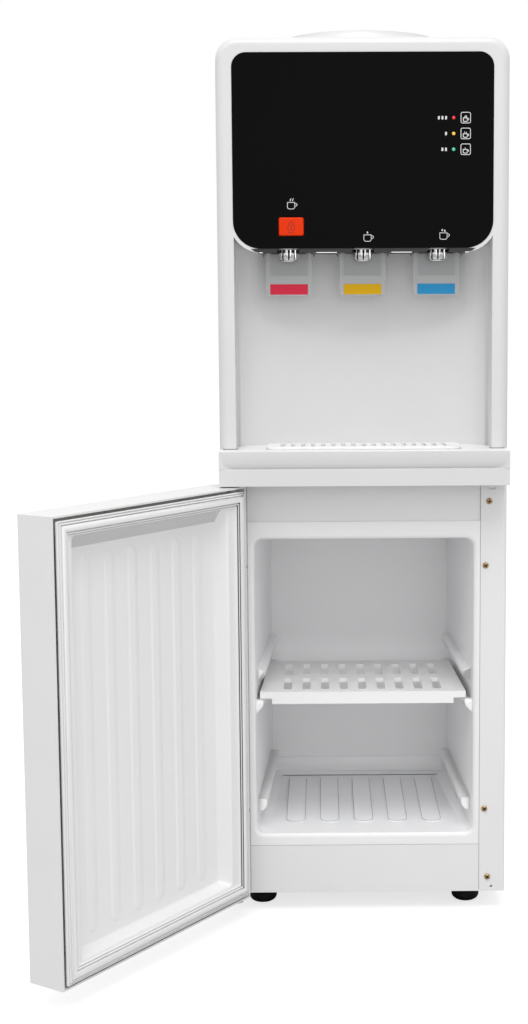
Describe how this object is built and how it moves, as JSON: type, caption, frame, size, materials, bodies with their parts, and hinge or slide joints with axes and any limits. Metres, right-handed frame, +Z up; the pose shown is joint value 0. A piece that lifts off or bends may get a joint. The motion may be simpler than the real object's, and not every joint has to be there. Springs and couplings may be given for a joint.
{
  "type": "hot water dispenser",
  "caption": "Floor-standing hot, warm and cold water dispenser for a top bottle, with push taps, drip tray, fan-cooled tank and a hinged storage cabinet with a shelf.",
  "frame": {"origin": "on the floor, under the middle of the cabinet's footprint, not counting the open door or the head that stands out in front", "axes": "+Z up, +X to the viewer's right when facing the taps, -Y out of the front"},
  "size_m": [0.5025, 0.5948, 1],
  "materials": {
    "white_steel": "powder coated, fine orange peel",
    "galvanised": "zinc coated sheet",
    "white_abs": "moulded, semi gloss",
    "liner_abs": "vacuum formed, semi gloss",
    "door_white": "moulded, satin",
    "gasket_white": "soft extruded, satin",
    "black_panel": "smooth black, semi gloss",
    "dark_plastic": "fine grain",
    "grey_plastic": "satin",
    "orange_plastic": "moulded, semi gloss",
    "red_plastic": "printed strip, gloss",
    "yellow_plastic": "printed strip, gloss",
    "blue_plastic": "printed strip, gloss",
    "green_plastic": "moulded, gloss",
    "clear_lens": "clear light pipe",
    "stainless": "drawn, satin",
    "plated_steel": "bright zinc plate",
    "aluminium": "extruded",
    "foam": "expanded polystyrene",
    "grey_felt": "insulating wrap",
    "silicone": "translucent hose",
    "circuit": "lacquered board",
    "rubber_black": "moulded"
  },
  "bodies": {
    "cabinet": {"base_pan": "galvanised", "feet": "rubber_black", "left_side_panel": "white_steel", "right_side_panel": "white_steel", "rear_panel": "white_steel", "plinth_panel": "white_steel", "upper_crossmember": "white_steel", "mid_deck": "galvanised", "tank_shelf": "galvanised", "cabinet_liner": "liner_abs", "cabinet_screws": "plated_steel", "top_hinge_plate": "plated_steel", "bottom_hinge_plate": "plated_steel", "tray_housing": "white_abs", "front_housing": "white_abs", "splash_back": "white_abs", "control_panel": "black_panel", "tap_plate": "dark_plastic", "tap_bodies": "white_abs", "spouts": "stainless", "lever_pins": "plated_steel", "top_cover": "white_abs", "bottle_collar": "white_abs", "bottle_probe": "white_abs", "cold_tank": "stainless", "cold_tank_foam": "foam", "hot_tank": "stainless", "hot_tank_wrap": "grey_felt", "heating_element": "stainless", "thermostats": "dark_plastic", "cooling_module": "aluminium", "heat_sink": "aluminium", "fan_frame": "dark_plastic", "water_hoses": "silicone", "drain_pipe": "silicone", "drain_cap": "white_abs", "control_board": "circuit", "power_board": "circuit", "lamp_lenses": "clear_lens", "cord_gland": "rubber_black", "switch_bezel": "dark_plastic"},
    "door": {"door_skin": "door_white", "door_liner": "liner_abs", "door_gasket": "gasket_white", "door_core": "foam", "hinge_bushes": "grey_plastic"},
    "shelf": {"shelf": "white_abs"},
    "drip_tray": {"drip_tray": "white_abs"},
    "drip_grille": {"drip_grille": "white_abs"},
    "hot_lever": {"hot_lever": "grey_plastic", "hot_strip": "red_plastic"},
    "warm_lever": {"warm_lever": "grey_plastic", "warm_strip": "yellow_plastic"},
    "cold_lever": {"cold_lever": "grey_plastic", "cold_strip": "blue_plastic"},
    "lock_button": {"lock_button": "orange_plastic"},
    "hot_rocker": {"hot_rocker": "red_plastic"},
    "cold_rocker": {"cold_rocker": "green_plastic"},
    "fan_rotor": {"fan_rotor": "dark_plastic"}
  },
  "joints": [
    {"name": "door_hinge", "type": "hinge", "parent": "cabinet", "child": "door", "pos_m": [-0.1473, -0.171, 0.26], "axis": [0, 0, -1], "range_deg": [-123.6, 0]},
    {"name": "shelf_slide", "type": "slide", "parent": "cabinet", "child": "shelf", "axis": [0, -1, 0], "range_m": [0, 0.19]},
    {"name": "tray_lift", "type": "slide", "parent": "cabinet", "child": "drip_tray", "axis": [0, 0, 1], "range_m": [0, 0.04]},
    {"name": "grille_lift", "type": "slide", "parent": "drip_tray", "child": "drip_grille", "axis": [0, 0, 1], "range_m": [0, 0.04]},
    {"name": "hot_lever_press", "type": "hinge", "parent": "cabinet", "child": "hot_lever", "pos_m": [-0.0825, -0.124, 0.7688], "axis": [1, 0, 0], "range_deg": [0, 12], "stiffness_Nm_per_rad": 0.3, "springref_deg": -11.46},
    {"name": "warm_lever_press", "type": "hinge", "parent": "cabinet", "child": "warm_lever", "pos_m": [0, -0.124, 0.7688], "axis": [1, 0, 0], "range_deg": [0, 12], "stiffness_Nm_per_rad": 0.3, "springref_deg": -11.46},
    {"name": "cold_lever_press", "type": "hinge", "parent": "cabinet", "child": "cold_lever", "pos_m": [0.0825, -0.124, 0.7688], "axis": [1, 0, 0], "range_deg": [0, 12], "stiffness_Nm_per_rad": 0.3, "springref_deg": -11.46},
    {"name": "lock_button_press", "type": "slide", "parent": "cabinet", "child": "lock_button", "axis": [0, 1, 0], "range_m": [0, 0.002], "stiffness_N_per_m": 400, "springref_m": -0.001},
    {"name": "hot_rocker_tilt", "type": "hinge", "parent": "cabinet", "child": "hot_rocker", "pos_m": [-0.1078, 0.145, 0.688], "axis": [1, 0, 0], "range_deg": [-16, 0]},
    {"name": "cold_rocker_tilt", "type": "hinge", "parent": "cabinet", "child": "cold_rocker", "pos_m": [-0.0922, 0.145, 0.688], "axis": [1, 0, 0], "range_deg": [-16, 0]},
    {"name": "fan_spin", "type": "hinge", "parent": "cabinet", "child": "fan_rotor", "pos_m": [0, 0.135, 0.888], "axis": [0, 1, 0], "continuous": true}
  ]
}
